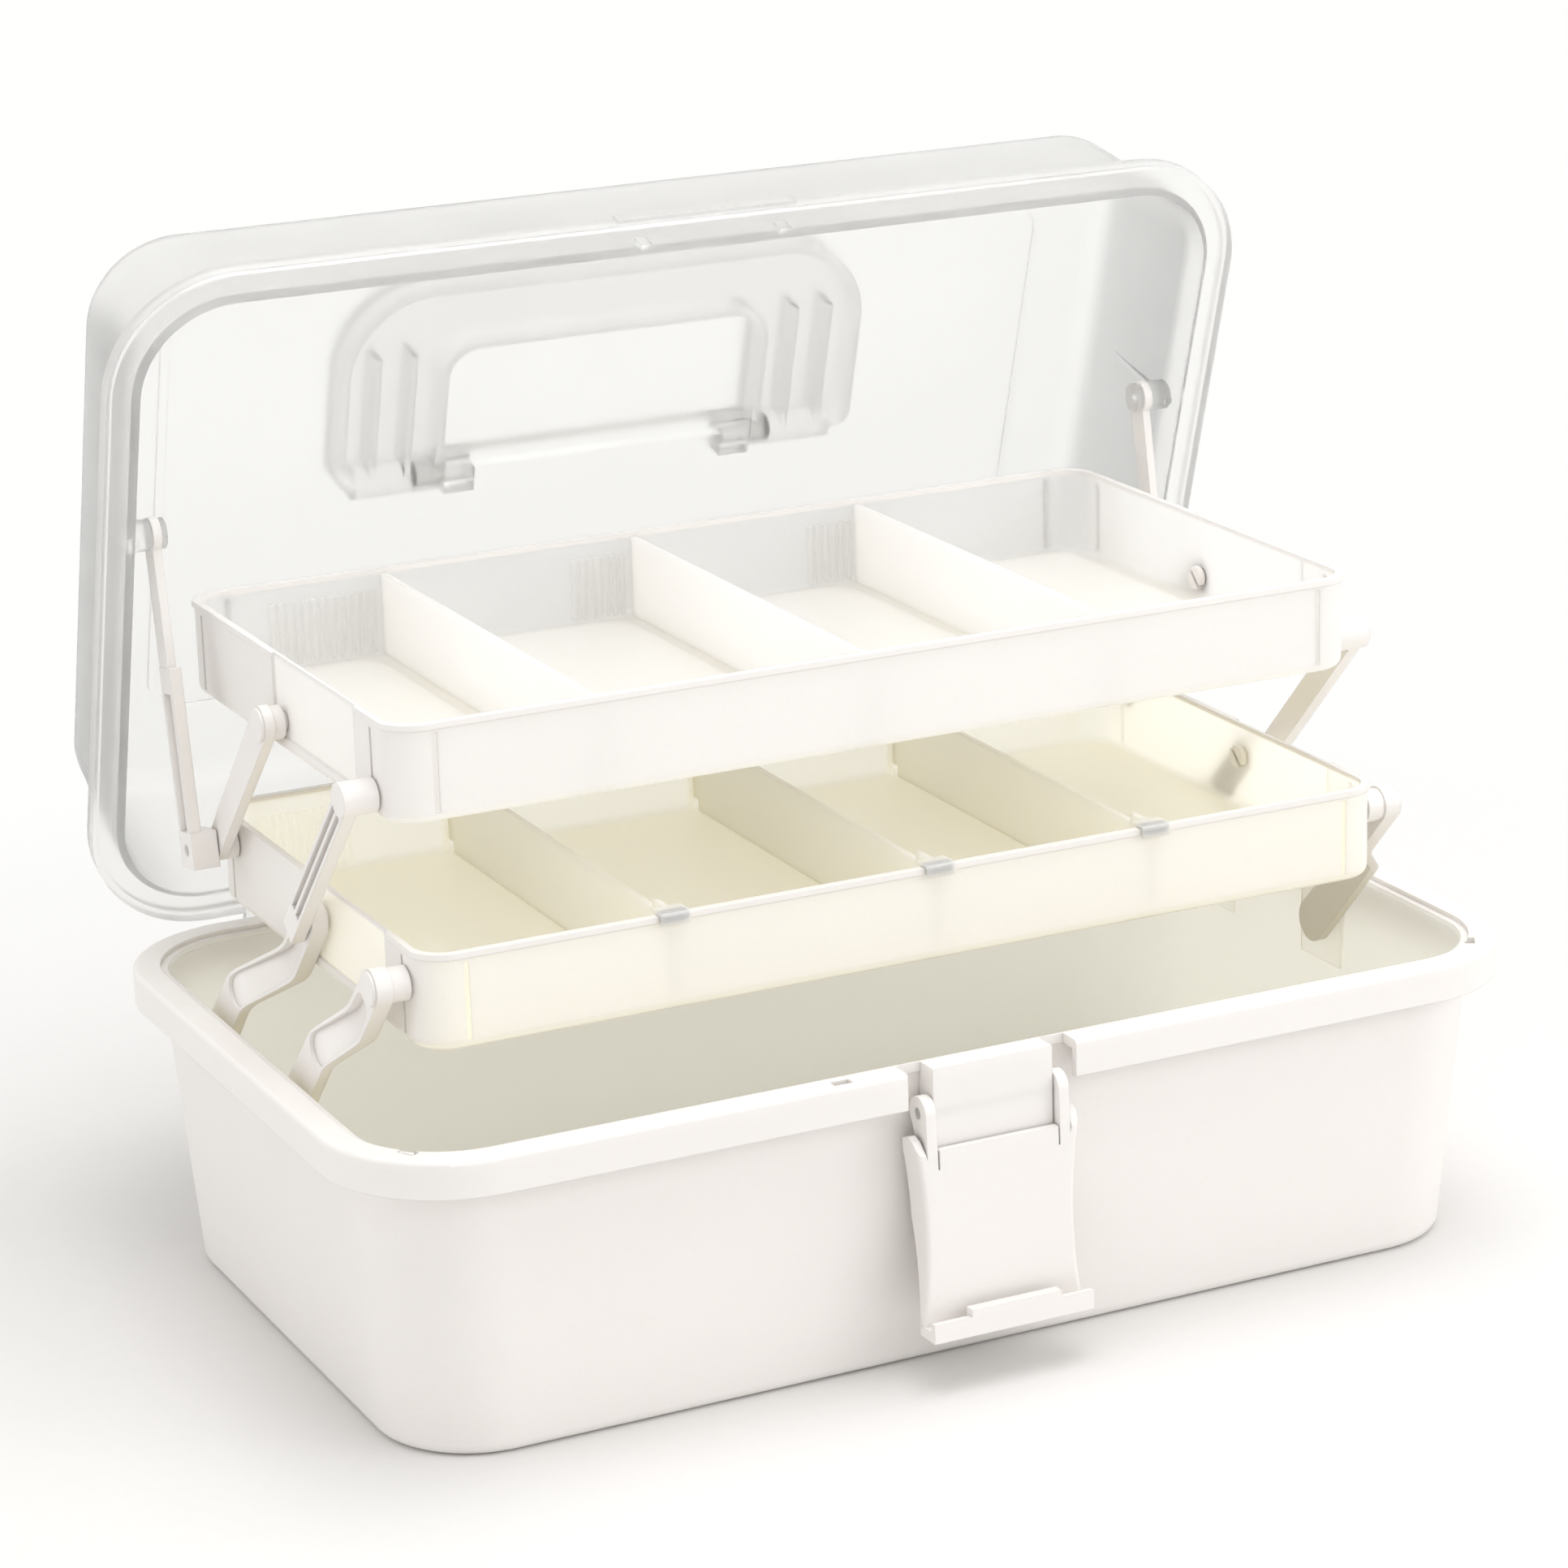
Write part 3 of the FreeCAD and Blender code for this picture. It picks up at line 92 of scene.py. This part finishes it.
# Node helpers
class Tree:
    """Short calls for building one material's node tree."""

    def __init__(self, name):
        self.material = bpy.data.materials.new(name)
        self.material.use_nodes = True
        self.nodes = self.material.node_tree.nodes
        self.links = self.material.node_tree.links
        self.shader = self.nodes["Principled BSDF"]
        self.output = self.nodes["Material Output"]
        self.place = self.add("ShaderNodeTexCoord").outputs["Object"]

    def add(self, kind, **settings):
        node = self.nodes.new(kind)
        for key, value in settings.items():
            setattr(node, key, value)
        return node

    def link(self, source, target):
        self.links.new(source, target)

    def fill(self, socket, value):
        """Links a socket or sets a constant."""
        if isinstance(value, bpy.types.NodeSocket):
            self.link(value, socket)
        else:
            socket.default_value = value

    def math(self, operation, first, second=0.0, third=0.0):
        node = self.add("ShaderNodeMath", operation=operation)
        for index, value in enumerate((first, second, third)):
            self.fill(node.inputs[index], value)
        return node.outputs[0]

    def noise(self, scale, detail=2.0, rough=0.5, place=None):
        node = self.add("ShaderNodeTexNoise")
        node.inputs["Scale"].default_value = scale
        node.inputs["Detail"].default_value = detail
        node.inputs["Roughness"].default_value = rough
        self.link(place or self.place, node.inputs["Vector"])
        return node.outputs["Fac"]

    def remap(self, value, low, high, new_low, new_high):
        node = self.add("ShaderNodeMapRange", clamp=True)
        sources = (value, low, high, new_low, new_high)
        for name, source in zip(("Value", "From Min", "From Max", "To Min", "To Max"), sources):
            self.fill(node.inputs[name], source)
        return node.outputs["Result"]

    def blend(self, factor, first, second):
        node = self.add("ShaderNodeMix", data_type="RGBA")
        for name, value in (("Factor", factor), ("A", first), ("B", second)):
            sockets = [s for s in node.inputs if s.name == name and s.enabled]
            if not isinstance(value, bpy.types.NodeSocket) and name != "Factor":
                value = (*value, 1.0)
            self.fill(sockets[0], value)
        return [s for s in node.outputs if s.enabled][0]

    def axes(self):
        node = self.add("ShaderNodeSeparateXYZ")
        self.link(self.place, node.inputs[0])
        return node.outputs

    def bump(self, height, strength, distance, normal=None):
        node = self.add("ShaderNodeBump")
        node.inputs["Strength"].default_value = strength
        node.inputs["Distance"].default_value = distance
        self.link(height, node.inputs["Height"])
        if normal:
            self.link(normal, node.inputs["Normal"])
        return node.outputs["Normal"]

    def painted_crease_shade(self, colour, reach, depth):
        """Paints shade into narrow gaps and corners of its own piece, from ambient occlusion."""
        node = self.add("ShaderNodeAmbientOcclusion", samples=6, only_local=True)
        node.inputs["Distance"].default_value = reach
        level = self.remap(node.outputs["AO"], 0.15, 0.80, 1.0 - depth, 1.0)
        shaded = self.add("ShaderNodeHueSaturation")
        self.link(level, shaded.inputs["Value"])
        self.link(colour, shaded.inputs["Color"])
        return shaded.outputs["Color"]

    def soft_edges(self, radius):
        node = self.add("ShaderNodeBevel", samples=4)
        node.inputs["Radius"].default_value = radius
        return node.outputs["Normal"]


def room_masks(tree, room, edge=0.5 * MM):
    """Masks of a hollow piece: where light passes its walls, and the faces of its room, which get
    painted warm light and a painted glow.

    room holds half length, half depth, corner radius, middle y, lowest z that passes
    light, floor z, top z and how far the walls lean out per metre of height.
    """
    half_x, half_y, radius, centre_y, sill, low, high, lean = room
    x, y, z = tree.axes()
    widening = tree.math("MULTIPLY", z, lean)
    reach = []
    for value, half in ((x, half_x), (tree.math("SUBTRACT", y, centre_y), half_y)):
        beyond = tree.math("SUBTRACT", tree.math("ABSOLUTE", value), half - radius)
        beyond = tree.math("MAXIMUM", tree.math("SUBTRACT", beyond, widening), 0.0)
        reach.append(tree.math("MULTIPLY", beyond, beyond))
    distance = tree.math("SUBTRACT", tree.math("SQRT", tree.math("ADD", *reach)), radius)
    within = tree.remap(distance, -edge, edge, 1.0, 0.0)
    below = tree.remap(z, high - edge, high, 1.0, 0.0)
    within = tree.math("MULTIPLY", within, below)
    passing = tree.remap(z, sill, sill + edge, 0.0, 1.0)
    above = tree.remap(z, low, low + edge, 0.0, 1.0)
    return tree.math("MULTIPLY", within, passing), tree.math("MULTIPLY", within, above)


def moulded_plastic(name, tint, shade, room=None, inner_painted_light=None, glow=0.25, depth=3.0 * MM):
    """Satin moulded plastic with painted shade in creases; a hollow piece lets light through its walls
    by subsurface scattering, and its room's faces get painted warm light and a painted glow.
    """
    tree = Tree(name)
    cloud = tree.remap(tree.noise(14.0, 3.0), 0.35, 0.65, 0.0, 1.0)
    colour = tree.blend(cloud, tint, shade)
    if room:
        painted_warm_tint, painted_glow = inner_painted_light
        within, inside = room_masks(tree, room)
        # Painted warm light: the room's faces take a warmer tint than the outside
        colour = tree.blend(inside, colour, painted_warm_tint)
        # Painted glow: the room's faces emit light, standing in for light passed through the walls
        tree.shader.inputs["Emission Color"].default_value = (*PAINTED_GLOW_COLOUR, 1.0)
        tree.fill(tree.shader.inputs["Emission Strength"], tree.math("MULTIPLY", inside, painted_glow))
        glow = tree.remap(within, 0.0, 1.0, glow, 1.0)
        depth = tree.remap(within, 0.0, 1.0, depth, ROOM_DEPTH)
    fleck = tree.remap(tree.noise(900.0, 1.0), 0.30, 0.34, 0.985, 1.0)
    node = tree.add("ShaderNodeHueSaturation")
    tree.link(fleck, node.inputs["Value"])
    tree.link(colour, node.inputs["Color"])
    # Painted shade in creases and corners
    colour = tree.painted_crease_shade(node.outputs["Color"], 2.5 * MM, 0.22)
    tree.link(colour, tree.shader.inputs["Base Color"])
    roughness = tree.remap(tree.noise(60.0, 4.0), 0.3, 0.7, 0.30, 0.42)
    tree.link(roughness, tree.shader.inputs["Roughness"])
    tree.shader.inputs["IOR"].default_value = 1.49
    tree.fill(tree.shader.inputs["Subsurface Weight"], glow)
    tree.shader.inputs["Subsurface Radius"].default_value = (1.0, 0.97, 0.88)
    tree.fill(tree.shader.inputs["Subsurface Scale"], depth)
    grain = tree.bump(tree.noise(2600.0, 2.0), 0.14, 0.03 * MM, tree.soft_edges(0.5 * MM))
    tree.link(grain, tree.shader.inputs["Normal"])
    return tree.material


def frosted_plastic(name, tint, rough, clearness, end_walls=None):
    """Clear moulded plastic with a frosted, milky body; end walls behind the rim get a painted grey
    shade for their edge-on look.
    """
    tree = Tree(name)
    cloud = tree.remap(tree.noise(9.0, 3.0), 0.3, 0.7, 0.0, 1.0)
    colour = tree.blend(cloud, tint, MILK)
    if end_walls:
        x, y, z = tree.axes()
        outward = tree.remap(tree.math("ABSOLUTE", x), end_walls, end_walls + 3.0 * MM, 0.0, 1.0)
        height = tree.math("MULTIPLY", tree.math("SUBTRACT", y, LID_HINGE[0]), LID_AXIS[0])
        height = tree.math("MULTIPLY_ADD", tree.math("SUBTRACT", z, LID_HINGE[1]), LID_AXIS[1], height)
        behind_rim = tree.remap(height, *LID_RIM_END, 0.0, 1.0)
        # Painted shade: end walls beyond the rim are greyed, standing in for their edge-on look
        colour = tree.blend(tree.math("MULTIPLY", outward, behind_rim), colour, PAINTED_EDGE_SHADE)
    tree.link(colour, tree.shader.inputs["Base Color"])
    roughness = tree.remap(tree.noise(45.0, 5.0), 0.3, 0.7, rough - 0.04, rough + 0.06)
    tree.link(roughness, tree.shader.inputs["Roughness"])
    tree.shader.inputs["IOR"].default_value = 1.3
    tree.shader.inputs["Transmission Weight"].default_value = clearness
    tree.link(tree.bump(tree.noise(3200.0, 3.0), 0.1, 0.02 * MM), tree.shader.inputs["Normal"])
    return tree.material


def drawn_wire(name, tint):
    """Plain drawn steel wire with fine marks round it."""
    tree = Tree(name)
    tree.shader.inputs["Metallic"].default_value = 1.0
    stretch = tree.add("ShaderNodeMapping")
    stretch.inputs["Scale"].default_value = (6.0, 1.0, 1.0)
    tree.link(tree.place, stretch.inputs["Vector"])
    marks = tree.noise(900.0, 4.0, 0.6, stretch.outputs["Vector"])
    tree.link(tree.blend(marks, tint, DARK_STEEL), tree.shader.inputs["Base Color"])
    tree.link(tree.remap(marks, 0.3, 0.7, 0.22, 0.42), tree.shader.inputs["Roughness"])
    tree.link(tree.bump(marks, 0.2, 0.02 * MM), tree.shader.inputs["Normal"])
    return tree.material


def paint(material, *names):
    """Gives CAD nodes a material through their own slots."""
    for name in names:
        body = NODES[name]
        if not body.material_slots:
            body.data.materials.append(material)
        for slot in body.material_slots:
            slot.link = "OBJECT"
            slot.material = material


def both(name):
    return [name + "_right", name + "_left"]


def tray_room(node):
    """Room of a tray, read from the frame, to the middle of its walls."""
    low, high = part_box(node)
    half_x = (high.x - low.x) / 2 - TRAY_HALF_WALL
    half_y = (high.y - low.y) / 2 - TRAY_HALF_WALL
    middle_y = (low.y + high.y) / 2
    floor, top = low.z + TRAY_HALF_WALL, high.z - TRAY_HALF_WALL
    return half_x, half_y, TRAY_CORNER, middle_y, low.z - TRAY_HALF_WALL, floor, top, 0.0


def dress_nodes():
    outside = (WHITE, WHITE_SHADE)
    upper_room = tray_room("upper_tray")
    lower_room = tray_room("lower_tray")
    box_plastic = moulded_plastic("white_box", *outside, BOX_ROOM, (BOX_PAINTED_WARM_LIGHT, BOX_PAINTED_GLOW))
    upper_painted_light = (TRAY_PALE_AND_PAINTED_WARM_LIGHT, UPPER_PAINTED_GLOW)
    lower_painted_light = (TRAY_CREAM_AND_PAINTED_WARM_LIGHT, LOWER_PAINTED_GLOW)
    upper_plastic = moulded_plastic("white_upper_tray", *outside, upper_room, upper_painted_light)
    lower_plastic = moulded_plastic("white_lower_tray", *outside, lower_room, lower_painted_light)
    part_plastic = moulded_plastic("white_parts", *outside, depth=1.5 * MM)
    divider_plastic = moulded_plastic("white_dividers", TRAY_CREAM_AND_PAINTED_WARM_LIGHT, TRAY_PALE_AND_PAINTED_WARM_LIGHT, glow=0.9, depth=12.0 * MM)
    lid_plastic = frosted_plastic("clear_lid", CLEAR, 0.34, 0.92, LID_END_WALL)
    handle_plastic = frosted_plastic("clear_handle", CLEAR, 0.34, 0.93)
    wire = drawn_wire("wire", STEEL)
    paint(box_plastic, "base_box")
    paint(upper_plastic, "upper_tray")
    paint(lower_plastic, "lower_tray")
    paint(divider_plastic, "left_divider", "middle_divider", "right_divider")
    arms = ("front_lower_arm", "rear_lower_arm", "upper_front_link", "upper_rear_arm", "lid_link")
    for arm in arms:
        paint(part_plastic, *both(arm))
    paint(part_plastic, "latch_lever")
    paint(lid_plastic, "lid_shell")
    paint(handle_plastic, "carry_handle", *both("handle_pin"))
    paint(wire, "latch_pin", *both("lid_hinge_pin"))


# Stage
def floor_material():
    """Pale floor that keeps the shadow near the box and turns to plain white further out."""
    tree = Tree("floor")
    tree.shader.inputs["Roughness"].default_value = 0.9
    tree.shader.inputs["Specular IOR Level"].default_value = 0.1
    speckle = tree.remap(tree.noise(220.0, 2.0), 0.3, 0.7, 0.0, 1.0)
    paper = tree.blend(speckle, FLOOR, (FLOOR[0] * 0.99, FLOOR[1] * 0.99, FLOOR[2] * 0.99))
    tree.link(paper, tree.shader.inputs["Base Color"])
    distance = tree.add("ShaderNodeVectorMath", operation="LENGTH")
    tree.link(tree.place, distance.inputs[0])
    far = tree.remap(distance.outputs["Value"], *WHITE_RING, 0.0, 1.0)
    rays = tree.add("ShaderNodeLightPath").outputs
    seen = tree.math("MAXIMUM", rays["Is Camera Ray"], rays["Is Transmission Ray"])
    seen = tree.math("MAXIMUM", seen, rays["Is Glossy Ray"])
    plain = tree.add("ShaderNodeEmission")
    plain.inputs["Color"].default_value = (*BACKDROP, 1.0)
    mix = tree.add("ShaderNodeMixShader")
    tree.link(tree.math("MULTIPLY", far, seen), mix.inputs[0])
    tree.link(tree.shader.outputs[0], mix.inputs[1])
    tree.link(plain.outputs[0], mix.inputs[2])
    tree.link(mix.outputs[0], tree.output.inputs["Surface"])
    return tree.material


def make_floor():
    """One large round sheet, just below the object's underside."""
    mesh = bpy.data.meshes.new("floor")
    work = bmesh.new()
    bmesh.ops.create_circle(work, cap_ends=True, segments=96, radius=FLOOR_RADIUS)
    work.to_mesh(mesh)
    work.free()
    floor = bpy.data.objects.new("floor", mesh)
    floor.location.z = FLOOR_DROP
    bpy.context.scene.collection.objects.link(floor)
    mesh.materials.append(floor_material())


def make_world():
    """White surround for what is seen, softer light for what is lit."""
    world = bpy.data.worlds.new("studio")
    bpy.context.scene.world = world
    world.use_nodes = True
    nodes = world.node_tree.nodes
    links = world.node_tree.links
    ambient = nodes["Background"]
    ambient.inputs["Color"].default_value = (*AMBIENT, 1.0)
    ambient.inputs["Strength"].default_value = AMBIENT_STRENGTH
    plain = nodes.new("ShaderNodeBackground")
    plain.inputs["Color"].default_value = (*BACKDROP, 1.0)
    plain.inputs["Strength"].default_value = 1.0
    rays = nodes.new("ShaderNodeLightPath").outputs
    first = nodes.new("ShaderNodeMath")
    first.operation = "MAXIMUM"
    links.new(rays["Is Camera Ray"], first.inputs[0])
    links.new(rays["Is Glossy Ray"], first.inputs[1])
    second = nodes.new("ShaderNodeMath")
    second.operation = "MAXIMUM"
    links.new(first.outputs[0], second.inputs[0])
    links.new(rays["Is Transmission Ray"], second.inputs[1])
    mix = nodes.new("ShaderNodeMixShader")
    links.new(second.outputs[0], mix.inputs[0])
    links.new(ambient.outputs[0], mix.inputs[1])
    links.new(plain.outputs[0], mix.inputs[2])
    links.new(mix.outputs[0], nodes["World Output"].inputs["Surface"])


def area_lamp(name, place, size, watts):
    data = bpy.data.lights.new(name, "AREA")
    data.shape = "RECTANGLE"
    data.size, data.size_y = size
    data.energy = watts
    lamp = bpy.data.objects.new(name, data)
    lamp.location = place
    aim = Vector(LAMP_AIM) - Vector(place)
    lamp.rotation_euler = aim.to_track_quat("-Z", "Y").to_euler()
    bpy.context.scene.collection.objects.link(lamp)


def make_lamps():
    for name, (place, size, watts) in LAMPS.items():
        area_lamp(name, place, size, watts)


def make_camera():
    data = bpy.data.cameras.new("camera")
    data.sensor_width = SENSOR
    data.sensor_fit = "HORIZONTAL"
    data.lens = SENSOR * FOCAL_PIXELS / PHOTO_SIDE
    data.clip_start = 0.05
    data.clip_end = 50.0
    camera = bpy.data.objects.new("camera", data)
    forward = CAMERA_FORWARD.normalized()
    right = forward.cross(CAMERA_UP).normalized()
    up = right.cross(forward)
    turn = Matrix((right, up, -forward)).transposed()
    camera.matrix_world = Matrix.Translation(CAMERA_PLACE) @ turn.to_4x4()
    bpy.context.scene.collection.objects.link(camera)
    bpy.context.scene.camera = camera


dress_nodes()
make_floor()
make_world()
make_lamps()
make_camera()
bpy.context.scene.view_settings.view_transform = "Standard"
